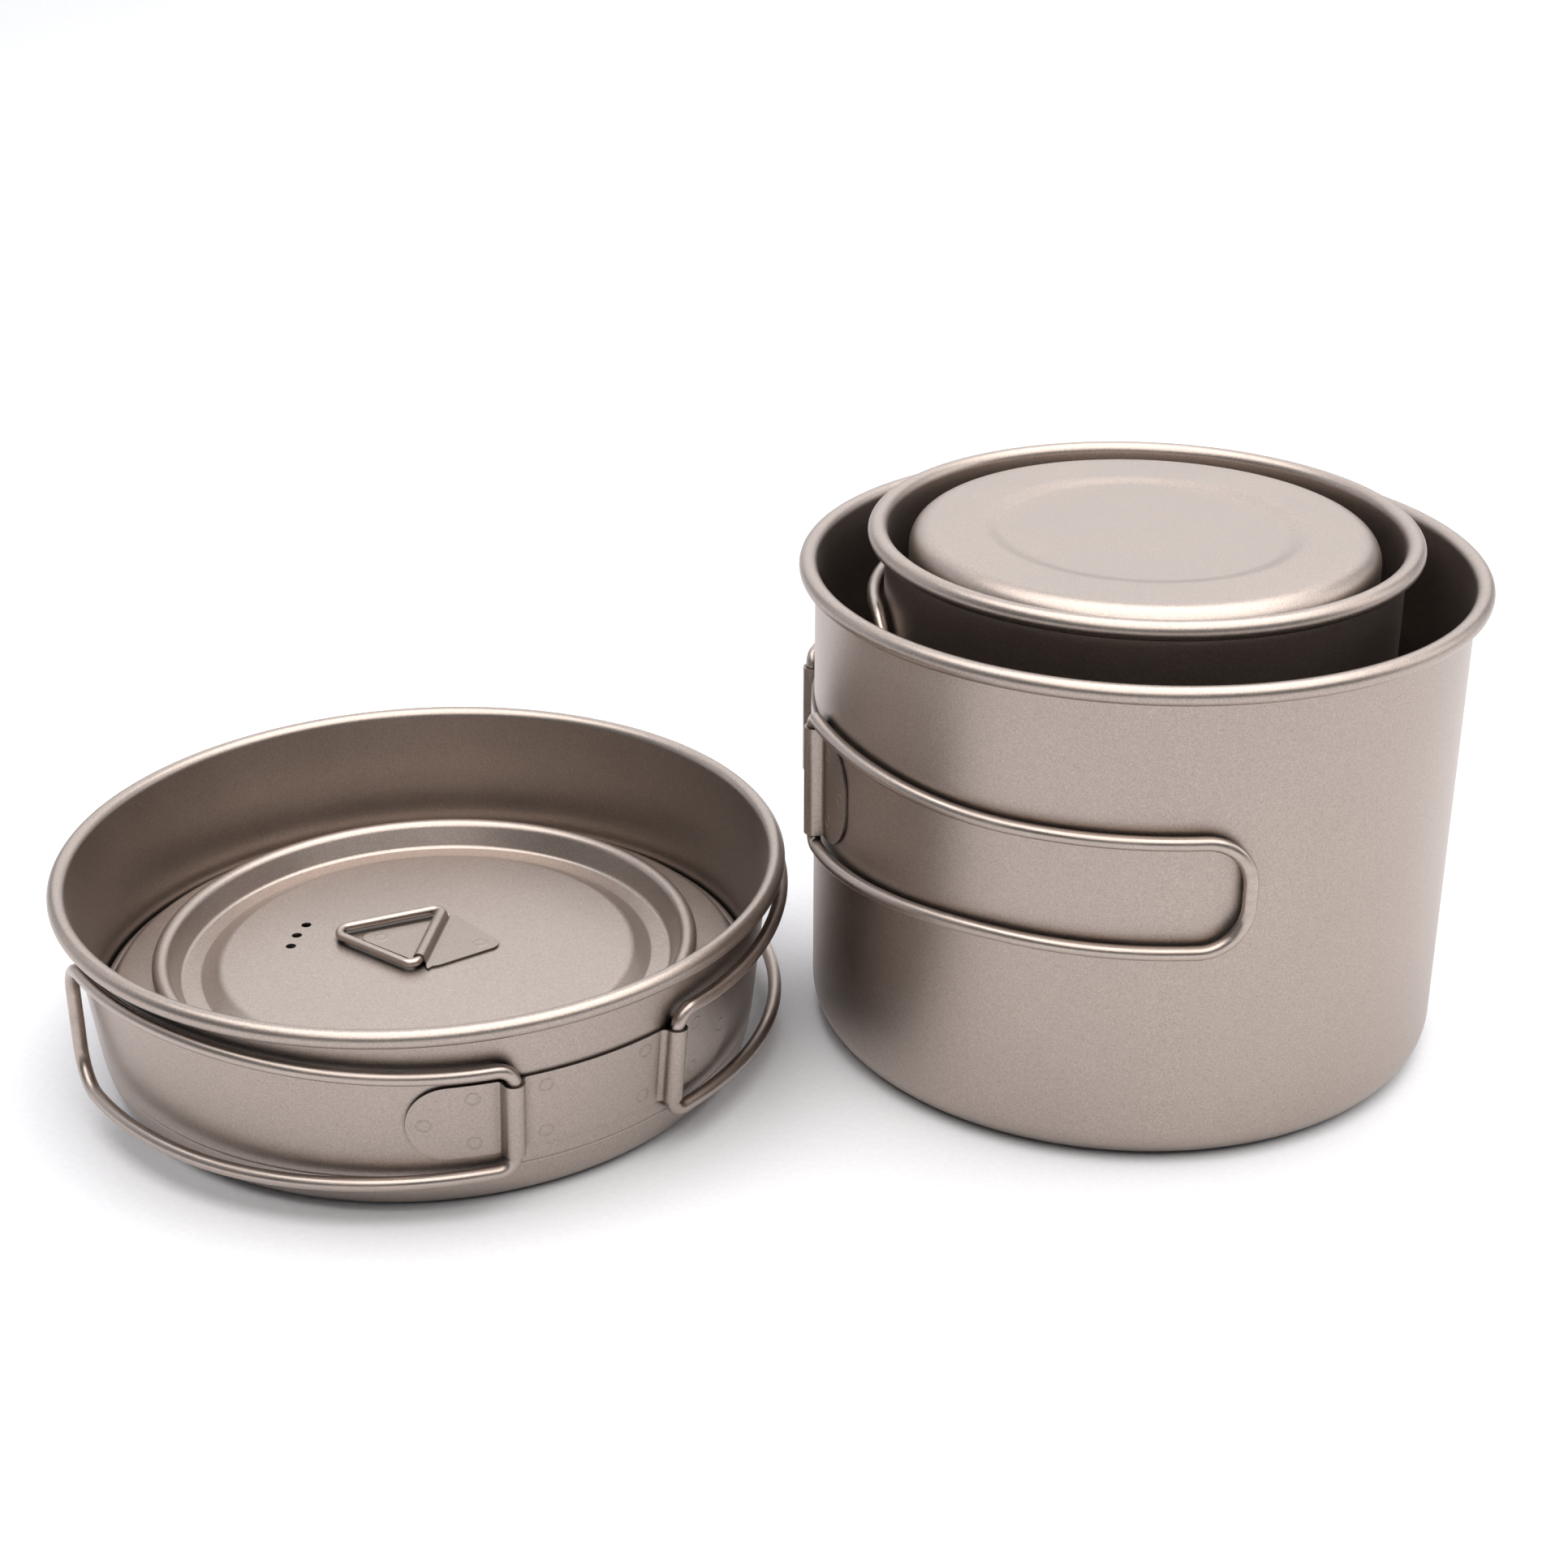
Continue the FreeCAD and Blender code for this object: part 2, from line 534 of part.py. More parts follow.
def bail_strap(name, placement):
    """Diamond of sheet spot welded to the lid, with a barrel rolled along its short diagonal."""
    body = new_body(name)
    sketch = new_sketch(body, name + "_outline", "XY_Plane")
    far, near = cell("bail_strap_long"), cell("bail_strap_short")
    corners = [(far, "0"), ("0", near), ("-" + far, "0"), ("0", "-" + near)]
    draw_outline(sketch, corners, {})
    pad = body.newObject("PartDesign::Pad", name + "_pad")
    pad.Profile = sketch
    pad.setExpression("Length", cell("bail_strap_gauge"))
    doc.recompute()
    uprights = []
    for index, edge in enumerate(pad.Shape.Edges, start=1):
        if abs(edge.Length - size("bail_strap_gauge")) < 1e-6:
            uprights.append("Edge%d" % index)
    fillet(body, pad, uprights, cell("bail_strap_corner"))
    lying = FreeCAD.Rotation(FreeCAD.Vector(1, 0, 0), -90)
    half = size("bail_barrel_half")
    roll = body.newObject("PartDesign::AdditiveCylinder", name + "_barrel")
    roll.setExpression("Radius", "dims.bail_wire + dims.pivot_play + dims.bail_strap_gauge")
    roll.setExpression("Height", "2 * dims.bail_barrel_half")
    roll.Placement = FreeCAD.Placement(FreeCAD.Vector(0, -half, bail_axis_height()), lying)
    bore = body.newObject("PartDesign::SubtractiveCylinder", name + "_bore")
    bore.setExpression("Radius", "dims.bail_wire + dims.pivot_play")
    bore.setExpression("Height", "4 * dims.bail_half")
    bore.Placement = FreeCAD.Placement(FreeCAD.Vector(0, -2 * size("bail_half"), bail_axis_height()), lying)
    body.Tip = bore
    for side in (-1, 1):
        weld_ring(body, name, standing(side * size("bail_weld"), 0, size("bail_strap_gauge")))
    return add_node(body, name, placement)


def fittings(p, prefix, place, names, standoffs=(0.0, 0.0)):
    """Strap and the two handles of vessel p, whose own frame is at place."""
    azimuth = FreeCAD.Rotation(FreeCAD.Vector(0, 0, 1), size(p + "_strap_azimuth"))
    middle = place.multiply(FreeCAD.Placement(FreeCAD.Vector(0, 0, size(p + "_strap_z")), azimuth))
    strap(p, prefix + "_strap", middle)
    for name, side, standoff in zip(names, (-1, 1), standoffs):
        handle(p, prefix + "_handle_" + name, middle, side, standoff)




large_place = standing(0, 0, 0)
middle_place = standing(0, 0, size("gauge") + size("rest_gap"))
cup_place = upside_down(0, 0, size("cup_base_z"))
pan_place = standing(size("pan_x"), size("pan_y"), 0)
wide_place = upside_down(size("pan_x"), size("pan_y"), size("wide_face_z"))
lid_z = size("wide_face_z") + size("rest_gap")

vessel("large", "large_pot", large_place)
fittings("large", "large_pot", large_place, ("rear", "front"))
vessel("middle", "middle_pot", middle_place)
fittings("middle", "middle_pot", middle_place, ("right", "left"))
vessel("cup", "cup", cup_place, recess=True)
fittings("cup", "cup", cup_place, ("right", "left"))
vessel("pan", "pan", pan_place)
fittings("pan", "pan", pan_place, ("left", "right"), (size("pan_left_standoff"), size("pan_right_standoff")))
vessel("wide", "wide_lid", wide_place)
vented_lid("vented_lid", standing(size("pan_x"), size("pan_y"), lid_z))
bail_strap("vented_lid_strap", lid_frame(lid_z + size("lid_rise")))
bail("vented_lid_bail", lid_frame(lid_z + size("lid_rise") + bail_axis_height()))

doc.recompute()

for obj in doc.Objects:
    if any(word in ("Invalid", "Error") for word in obj.State):
        raise RuntimeError("%s failed: %s" % (obj.Name, obj.State))
for node in nodes:
    if node.Shape.isNull() or not node.Shape.isValid() or not node.Shape.Solids:
        raise RuntimeError("%s has no valid solid" % node.Label)

os.makedirs("parts", exist_ok=True)
for node in nodes:
    node.Shape.exportStep("parts/%s.step" % node.Label)
    box = node.Shape.BoundBox
    print("%-26s solids %d volume %9.1f  x %7.2f %7.2f  y %7.2f %7.2f  z %7.2f %7.2f" % (
        node.Label, len(node.Shape.Solids), node.Shape.Volume,
        box.XMin, box.XMax, box.YMin, box.YMax, box.ZMin, box.ZMax))
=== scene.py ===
import math

import bpy
from mathutils import Matrix, Vector


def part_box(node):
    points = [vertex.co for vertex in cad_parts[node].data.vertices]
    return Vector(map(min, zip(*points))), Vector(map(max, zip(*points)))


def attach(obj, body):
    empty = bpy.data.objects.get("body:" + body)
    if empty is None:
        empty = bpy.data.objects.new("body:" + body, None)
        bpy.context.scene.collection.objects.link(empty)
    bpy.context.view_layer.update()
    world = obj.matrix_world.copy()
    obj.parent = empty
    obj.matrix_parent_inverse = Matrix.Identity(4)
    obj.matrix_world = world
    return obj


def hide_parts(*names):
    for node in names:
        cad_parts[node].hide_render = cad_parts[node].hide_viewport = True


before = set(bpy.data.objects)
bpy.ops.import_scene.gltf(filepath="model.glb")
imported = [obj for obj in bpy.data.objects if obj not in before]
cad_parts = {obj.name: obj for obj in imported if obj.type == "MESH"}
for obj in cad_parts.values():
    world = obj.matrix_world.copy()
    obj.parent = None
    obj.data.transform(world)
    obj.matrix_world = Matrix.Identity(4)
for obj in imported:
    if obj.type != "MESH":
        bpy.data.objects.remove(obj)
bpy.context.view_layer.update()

MM = 0.001

# ---------------------------------------------------------------- driving sizes, in millimetres

GAUGE = 0.5            # vessel sheet
STRAP_GAUGE = 0.6      # strap sheet
PLAY = 0.05            # between a wire and its barrel
REST_GAP = 0.05        # between a barrel and the wall
CURL_END = 248         # degrees that a rim curl turns through past the horizontal

# rim curl centre radius and height, curl radius, base corner radius, wall flare in degrees
VESSELS = {
    "large_pot": dict(rim=72.0, height=107.2, curl=2.0, corner=7.8, flare=0.0),
    "middle_pot": dict(rim=57.1, height=114.05, curl=2.1, corner=7.5, flare=0.0),
    "cup": dict(rim=51.5, height=111.25, curl=1.7, corner=4.8, flare=0.0),
    "pan": dict(rim=78.0, height=45.2, curl=1.95, corner=7.9, flare=6.4),
    "wide_lid": dict(rim=70.8, height=4.0, curl=1.6, corner=1.9, flare=0.0),
}
# shallow step of the cup's base, and the width that its soft edge adds on each side
CUP_RECESS = dict(inner=30.9, outer=33.9, depth=0.9, soft=1.0)
# press line of the pan: height, half height of its trough, depth, and how far the base is drawn in
PAN_CREASE = dict(height=10.0, half=0.5, depth=0.16, drawn=0.3)
# bend is the inside radius of the channel's corners, soft the radius of the plateau's edge
LID = dict(rim=58.2, height=4.25, curl=2.0, flare=24.0, channel=49.9, plateau=45.6, rise=2.95,
           bend=1.2, soft=4.0)
VENTS = dict(radius=1.15, circle=30.7, azimuth=170.0, pitch=9.5)

# strap: azimuth, half angles to a barrel and to the end, height, mid height, tab corner radius
STRAPS = {
    "large_pot": dict(azimuth=180.0, barrel=13.3, tab=25.2, height=25.3, middle=63.9, round=10.5),
    "middle_pot": dict(azimuth=106.0, barrel=16.8, tab=31.8, height=20.0, middle=87.3, round=9.9),
    "cup": dict(azimuth=-45.0, barrel=16.0, tab=30.0, height=18.0, middle=78.0, round=8.9),
    "pan": dict(azimuth=-55.6, barrel=14.2, tab=30.6, height=17.7, middle=23.05, round=8.7),
}
# handle: wire radius, half height at hinge and end, sweep, end corner radius, taper length, rise
HANDLES = {
    "large_pot": dict(wire=1.5, hinge=15.0, end=12.2, sweep=88.6, corner=10.0, taper=62.0, rise=0.0),
    "middle_pot": dict(wire=1.5, hinge=13.4, end=12.2, sweep=72.7, corner=10.0, taper=30.0, rise=0.0),
    "cup": dict(wire=1.25, hinge=12.0, end=11.0, sweep=84.0, corner=9.0, taper=25.0, rise=0.0),
    "pan": dict(wire=1.5, hinge=12.6, end=14.5, sweep=83.0, corner=8.0, taper=70.0, rise=2.0),
}
# node, vessel, side of the strap, how far the end stands out
HANDLE_NODES = [
    ("large_pot_handle_rear", "large_pot", -1, 0.0),
    ("large_pot_handle_front", "large_pot", 1, 0.0),
    ("middle_pot_handle_right", "middle_pot", -1, 0.0),
    ("middle_pot_handle_left", "middle_pot", 1, 0.0),
    ("cup_handle_right", "cup", -1, 0.0),
    ("cup_handle_left", "cup", 1, 0.0),
    ("pan_handle_left", "pan", -1, 1.7),
    ("pan_handle_right", "pan", 1, 4.0),
]
BAIL = dict(wire=1.0, reach=23.6, half=14.0, bend=1.9, apex=3.0, x=0.4, y=2.2, azimuth=173.5)
# tip is how far the rounding takes off the blank's pointed end, cut how far it is cut back over the wire
BAIL_STRAP = dict(far=16.9, near=12.9, corner=2.5, gauge=0.4, weld=11.3, tip=1.5, cut=2.3)

# bends of a strap at its barrel: at the middle's side, at the tab's side, and where the roll ends
ROLL = dict(soft=1.5, tight=1.1, undercut=166)
WELD_RING = dict(radius=1.4, half_width=0.2, height=0.06)

AROUND = 240           # segments round a vessel
WIRE_SIDES = 28
STRAP_ROWS = 16
RING_TURNS = 36
SHEET_EDGE = 0.22      # rounding of a strap's cut edges
SEAT = 0.08            # shadow gap under a welded sheet

# ---------------------------------------------------------------- places, from the frame


def node_centre(node):
    low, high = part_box(node)
    return (low.x + high.x) / 2, (low.y + high.y) / 2


def upright(node):
    x, y = node_centre(node)
    return Matrix.Translation((x, y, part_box(node)[0].z))


def upturned(node):
    x, y = node_centre(node)
    return Matrix.Translation((x, y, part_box(node)[1].z)) @ Matrix.Rotation(math.pi, 4, "X")


PLACES = {
    "large_pot": upright("large_pot"),
    "middle_pot": upright("middle_pot"),
    "cup": upturned("cup"),
    "pan": upright("pan"),
    "wide_lid": upturned("wide_lid"),
    "vented_lid": upright("vented_lid"),
}

# ---------------------------------------------------------------- mesh building


def new_piece(name, vertices, faces, place=None):
    """Mesh object from vertices in millimetres, moved to its place in the row frame."""
    mesh = bpy.data.meshes.new(name)
    move = place if place is not None else Matrix.Identity(4)
    mesh.from_pydata([move @ (Vector(v) * MM) for v in vertices], [], faces)
    mesh.validate()
    mesh.shade_smooth()
    mesh.update()
    piece = bpy.data.objects.new(name, mesh)
    bpy.context.scene.collection.objects.link(piece)
    return piece


def arc(cx, cy, radius, start, stop, count):
    """Points of an arc, angles in degrees."""
    points = []
    for step in range(count + 1):
        angle = math.radians(start + (stop - start) * step / count)
        points.append((cx + radius * math.cos(angle), cy + radius * math.sin(angle)))
    return points


def line(start, stop, count):
    """Points between start and stop, without start."""
    return [(start[0] + (stop[0] - start[0]) * i / count, start[1] + (stop[1] - start[1]) * i / count)
            for i in range(1, count + 1)]


def lathe(name, profile, place):
    """Turns a closed profile of (radius, height) points that starts and ends on the axis."""
    inner = profile[1:-1]
    vertices = [(0, 0, profile[0][1]), (0, 0, profile[-1][1])]
    for step in range(AROUND):
        angle = 2 * math.pi * step / AROUND
        vertices += [(r * math.cos(angle), r * math.sin(angle), z) for r, z in inner]
    count = len(inner)
    faces = []
    for step in range(AROUND):
        here = 2 + step * count
        there = 2 + (step + 1) % AROUND * count
        faces.append((0, there, here))
        faces.append((1, here + count - 1, there + count - 1))
        for i in range(count - 1):
            faces.append((here + i, there + i, there + i + 1, here + i + 1))
    return new_piece(name, vertices, faces, place)


def curl_profile(size):
    """Outside and inside runs of a rim curl, from the outside of the wall to its inside."""
    rim, height, curl, flare = size["rim"], size["height"], size["curl"], size["flare"]
    outside = arc(rim, height, curl - GAUGE, 180 - flare, -360 + CURL_END, 26)
    inside = arc(rim, height, curl, -360 + CURL_END, 180 - flare, 30)
    return outside, inside


def vessel_profile(size, recess=None):
    flare = math.radians(size["flare"])
    corner = size["corner"]
    inner = size["curl"] - GAUGE
    base = (size["rim"] * math.cos(flare) - size["height"] * math.sin(flare) - inner - corner
            + corner * math.sin(flare)) / math.cos(flare)
    outside, inside = curl_profile(size)
    low = arc(base, corner, corner, -90, -size["flare"], 12)
    lining = arc(base, corner, corner - GAUGE, -size["flare"], -90, 12)
    floor = [(0, 0)] + line((0, 0), low[0], 12)[:-1]
    ceiling = line(lining[-1], (0, GAUGE), 12)
    if recess:
        edge = recess["outer"] + recess["soft"]
        floor = recess_run(recess, 0)[::-1] + line((edge, 0), low[0], 4)[:-1]
        ceiling = line(lining[-1], (edge, GAUGE), 4)[:-1] + recess_run(recess, GAUGE)
    profile = floor + low + line(low[-1], outside[0], 16)[:-1] + outside
    return profile + inside + line(inside[-1], lining[0], 16)[:-1] + lining + ceiling


def crease(profile):
    """Press line round the outside of the pan's wall, with the base drawn in a little below it."""
    height, half, deep = PAN_CREASE["height"], PAN_CREASE["half"], PAN_CREASE["depth"]
    first = next(i for i, point in enumerate(profile) if point[1] > height - half)
    last = next(i for i, point in enumerate(profile) if point[1] > height + half)
    low, high = profile[first - 1], profile[last]
    lean = (high[0] - low[0]) / (high[1] - low[1])

    def drawn_in(y):
        return PAN_CREASE["drawn"] * math.sin(math.pi * min(y / height, 1))

    base = [(x - drawn_in(y), y) for x, y in profile[:first]]
    groove = []
    for rise, depth in ((-half, 0), (-0.2, 0.02), (-0.05, deep), (0.05, deep), (0.15, 0), (half, 0)):
        y = height + rise
        groove.append((low[0] + lean * (y - low[1]) - depth - drawn_in(y), y))
    return base + groove + profile[last:]


def recess_run(recess, lift):
    """Soft pressed step of the cup's base, from outside it to the axis."""
    start = recess["outer"] + recess["soft"]
    stop = recess["inner"] - recess["soft"]
    points = []
    for step in range(21):
        share = step / 20
        points.append((start + (stop - start) * share, lift + recess["depth"] * smooth(share)))
    return points + line(points[-1], (0, lift + recess["depth"]), 8)


def fillet_chain(corners, radii, steps=8):
    """Rounds the corners of an open polyline in a plane."""
    points = [corners[0]]
    for i in range(1, len(corners) - 1):
        here = Vector(corners[i])
        back = (Vector(corners[i - 1]) - here).normalized()
        ahead = (Vector(corners[i + 1]) - here).normalized()
        turn = back.angle(ahead)
        reach = radii[i - 1] / math.tan(turn / 2)
        centre = here + (back + ahead).normalized() * (radii[i - 1] / math.sin(turn / 2))
        first = here + back * reach - centre
        last = here + ahead * reach - centre
        swing = first.angle_signed(last)
        for step in range(steps + 1):
            spoke = first.copy()
            spoke.rotate(Matrix.Rotation(-swing * step / steps, 2))
            points.append(tuple(centre + spoke))
    points.append(corners[-1])
    return points


def lid_profile():
    """Vented lid: raised middle, channel and rolled rim."""
    flare = math.radians(LID["flare"])
    slope = math.atan((LID["rise"] - GAUGE) / (LID["channel"] - LID["plateau"]))
    lean = GAUGE * math.tan(slope / 2)
    outside, inside = curl_profile(LID)
    inner = LID["curl"] - GAUGE

    def foot(curl, drop):
        top = LID["height"] + curl * math.sin(flare) - drop
        return LID["rim"] - curl * math.cos(flare) - top * math.tan(flare)

    below = [(0, LID["rise"] - GAUGE), (LID["plateau"] - lean, LID["rise"] - GAUGE),
             (LID["channel"] - lean, 0), (foot(inner, 0), 0), outside[0]]
    above = [inside[-1], (foot(LID["curl"], GAUGE), GAUGE), (LID["channel"], GAUGE),
             (LID["plateau"], LID["rise"]), (0, LID["rise"])]
    small, large, soft = LID["bend"], LID["bend"] + GAUGE, LID["soft"]
    low = fillet_chain(below, [soft - GAUGE, large, large])
    high = fillet_chain(above, [small, small, soft])
    return low + outside[1:] + inside[:-1] + high


def tube(name, path, radius, place):
    """Round wire along a path, with flat ends."""
    points = [Vector(p) for p in path]
    side = None
    vertices = []
    for i, point in enumerate(points):
        before = points[max(i - 1, 0)]
        after = points[min(i + 1, len(points) - 1)]
        along = (after - before).normalized()
        if side is None:
            side = along.orthogonal().normalized()
        side = (side - along * side.dot(along)).normalized()
        across = along.cross(side)
        for step in range(WIRE_SIDES):
            angle = 2 * math.pi * step / WIRE_SIDES
            vertices.append(point + (side * math.cos(angle) + across * math.sin(angle)) * radius)
    faces = [tuple(range(WIRE_SIDES))[::-1]]
    for i in range(len(points) - 1):
        for step in range(WIRE_SIDES):
            a = i * WIRE_SIDES + step
            b = i * WIRE_SIDES + (step + 1) % WIRE_SIDES
            faces.append((a, b, b + WIRE_SIDES, a + WIRE_SIDES))
    last = (len(points) - 1) * WIRE_SIDES
    faces.append(tuple(range(last, last + WIRE_SIDES)))
    return new_piece(name, vertices, faces, place)


def ribbon(name, path, half_heights, gauge, wrap, place):
    """Bent sheet: path is the centre line seen from above as (along, out), half_heights its half height
    at each point, and wrap puts (along, out, height) onto the wall."""
    rows = STRAP_ROWS
    flat = [Vector(p) for p in path]
    count = len(flat)
    vertices = []
    for face_side in (1, -1):
        for i, point in enumerate(flat):
            along = (flat[min(i + 1, count - 1)] - flat[max(i - 1, 0)]).normalized()
            out = Vector((-along.y, along.x)) * face_side * gauge / 2
            for row in range(rows + 1):
                height = half_heights[i] * (2 * row / rows - 1)
                vertices.append(wrap(point.x + out.x, point.y + out.y, height))
    width = rows + 1
    back = count * width
    faces = []
    for i in range(count - 1):
        for row in range(rows):
            a = i * width + row
            faces.append((a, a + width, a + width + 1, a + 1))
            b = back + a
            faces.append((b, b + 1, b + width + 1, b + width))
        low = i * width
        faces.append((low, back + low, back + low + width, low + width))
        top = low + rows
        faces.append((top, top + width, back + top + width, back + top))
    for i, flip in ((0, False), (count - 1, True)):
        for row in range(rows):
            a = i * width + row
            quad = (a, a + 1, back + a + 1, back + a)
            faces.append(quad[::-1] if flip else quad)
    piece = new_piece(name, vertices, faces, place)
    soften(piece, SHEET_EDGE, 60)
    return piece


def soften(piece, width, angle):
    """Rounds the cut edges of a sheet piece."""
    bevel = piece.modifiers.new("cut edges", "BEVEL")
    bevel.width = width * MM
    bevel.segments = 4
    bevel.limit_method = "ANGLE"
    bevel.angle_limit = math.radians(angle)
    bevel.harden_normals = True


# ---------------------------------------------------------------- straps and handles


def wall_radius(vessel, z):
    """Outer radius of a vessel's wall at height z over its base."""
    size = VESSELS[vessel]
    flare = math.radians(size["flare"])
    inner = size["curl"] - GAUGE
    knee = size["height"] + inner * math.sin(flare)
    return size["rim"] - inner * math.cos(flare) + (z - knee) * math.tan(flare)


def barrel_radius(vessel):
    return HANDLES[vessel]["wire"] + PLAY + STRAP_GAUGE


def strap_place(vessel):
    strap = STRAPS[vessel]
    lift = Matrix.Translation((0, 0, strap["middle"] * MM))
    return PLACES[vessel] @ lift @ Matrix.Rotation(math.radians(strap["azimuth"]), 4, "Z")


def barrel_roll(vessel):
    """Centre line of the sheet round one barrel, from the middle of the strap to its tab, with the
    barrel over the origin: (distance towards the middle, distance from the wall)."""
    lying = STRAP_GAUGE / 2 + SEAT
    round_wire = barrel_radius(vessel) - STRAP_GAUGE / 2
    axis = barrel_radius(vessel) + REST_GAP
    soft, tight, undercut = ROLL["soft"], ROLL["tight"], ROLL["undercut"]
    rise = math.acos((lying + soft - axis) / (soft + round_wire))
    foot = (soft + round_wire) * math.sin(rise)
    points = []
    for step in range(11):
        angle = rise * step / 10
        points.append((foot - soft * math.sin(angle), lying + soft * (1 - math.cos(angle))))
    points += arc(0, axis, round_wire, 90 - math.degrees(rise), undercut, 40)[1:]
    heading = math.radians(undercut + 90)
    ahead = Vector((math.cos(heading), math.sin(heading)))
    last = Vector(points[-1])
    # straight down to where the tight bend onto the wall begins
    turn = math.radians(undercut + 90 - 180)
    bend_top = lying + tight * (1 - math.cos(turn))
    reach = (last.y - bend_top) / -ahead.y
    begin = last + ahead * reach
    centre = begin + Vector((ahead.y, -ahead.x)) * tight
    for step in range(11):
        spoke = begin - centre
        spoke.rotate(Matrix.Rotation(-turn * step / 10, 2))
        points.append(tuple(centre + spoke))
    return points


def strap_line(vessel):
    """The whole strap from tab to tab as (arc along the wall, distance out)."""
    strap = STRAPS[vessel]
    axis = barrel_radius(vessel) + REST_GAP
    reach = wall_radius(vessel, strap["middle"]) + axis
    at_barrel = math.radians(strap["barrel"]) * reach
    at_end = math.radians(strap["tab"]) * reach
    roll = barrel_roll(vessel)
    half = [(at_barrel - x, y) for x, y in roll]
    lying = STRAP_GAUGE / 2 + SEAT
    middle = line((0, lying), half[0], 6)
    tab_start = half[-1]
    tab = []
    for step in range(1, 25):
        share = math.sin(math.pi / 2 * step / 24)
        tab.append((tab_start[0] + (at_end - tab_start[0]) * share, lying))
    right = middle[:-1] + half + tab
    left = [(-x, y) for x, y in reversed(right)]
    return left + [(0, lying)] + right, at_end


def strap_piece(vessel):
    strap = STRAPS[vessel]
    path, at_end = strap_line(vessel)
    half = strap["height"] / 2
    corner = strap["round"]
    halves = []
    for x, y in path:
        over = max(abs(x) - (at_end - corner), 0)
        halves.append(half - corner + math.sqrt(max(corner * corner - over * over, 0)))
    wall = wall_radius(vessel, strap["middle"])
    reach = wall + barrel_radius(vessel) + REST_GAP
    flare = math.tan(math.radians(VESSELS[vessel]["flare"]))

    def wrap(along, out, height):
        angle = along / reach
        radius = wall + out + height * flare
        return radius * math.cos(angle), radius * math.sin(angle), height

    return ribbon(vessel + "_strap_sheet", path, halves, STRAP_GAUGE, wrap, strap_place(vessel))


def weld_marks(vessel):
    """Faint raised rings where a spot welder pressed the strap to the wall."""
    strap = STRAPS[vessel]
    barrel, tab = strap["barrel"], strap["tab"]
    half = strap["height"] / 2
    near = barrel + 0.37 * (tab - barrel)
    tip = barrel + 0.83 * (tab - barrel)
    inside = 0.62 * barrel
    flare = math.radians(VESSELS[vessel]["flare"])
    marks = []
    for side in (-1, 1):
        marks += [(side * near, 0.62 * half), (side * near, -0.62 * half), (side * tip, 0)]
        marks += [(side * inside, 0.64 * half), (side * inside, -0.64 * half)]
    vertices = []
    faces = []
    for angle, z in marks:
        radius = wall_radius(vessel, strap["middle"] + z) + (STRAP_GAUGE + SEAT) / math.cos(flare)
        place = Matrix.Rotation(math.radians(angle), 4, "Z") @ Matrix.Translation((radius, 0, z))
        place = place @ Matrix.Rotation(math.pi / 2 + flare, 4, "Y")
        add_ring(vertices, faces, place, **WELD_RING)
    return new_piece(vessel + "_weld_marks", vertices, faces, strap_place(vessel))


def add_ring(vertices, faces, place, radius, half_width, height):
    """Flattened ring half sunk in a surface, round the Z axis of place."""
    turns, sides = RING_TURNS, 10
    first = len(vertices)
    for turn in range(turns):
        angle = 2 * math.pi * turn / turns
        for side in range(sides):
            tilt = 2 * math.pi * side / sides
            out = radius + half_width * math.cos(tilt)
            spot = Vector((out * math.cos(angle), out * math.sin(angle), height * math.sin(tilt)))
            vertices.append(place @ spot)
    for turn in range(turns):
        for side in range(sides):
            a = first + turn * sides + side
            b = first + turn * sides + (side + 1) % sides
            c = first + (turn + 1) % turns * sides + (side + 1) % sides
            d = first + (turn + 1) % turns * sides + side
            faces.append((a, d, c, b))


def add_dish(vertices, faces, place):
    """Shallow pressed spot with a raised lip, round the Z axis of place."""
    turns = RING_TURNS
    lip = [(0.9, 0.012), (1.1, 0.03), (1.25, 0.075), (1.4, 0.08), (1.55, 0.04), (1.75, -0.02)]
    first = len(vertices)
    vertices.append(place @ Vector((0, 0, 0.01)))
    for radius, height in lip:
        for turn in range(turns):
            angle = 2 * math.pi * turn / turns
            spot = Vector((radius * math.cos(angle), radius * math.sin(angle), height))
            vertices.append(place @ spot)
    for turn in range(turns):
        ahead = (turn + 1) % turns
        faces.append((first, first + 1 + turn, first + 1 + ahead))
        for ring in range(len(lip) - 1):
            row = first + 1 + ring * turns
            faces.append((row + turn, row + turns + turn, row + turns + ahead, row + ahead))


def smooth(x):
    x = min(max(x, 0.0), 1.0)
    return x * x * (3 - 2 * x)


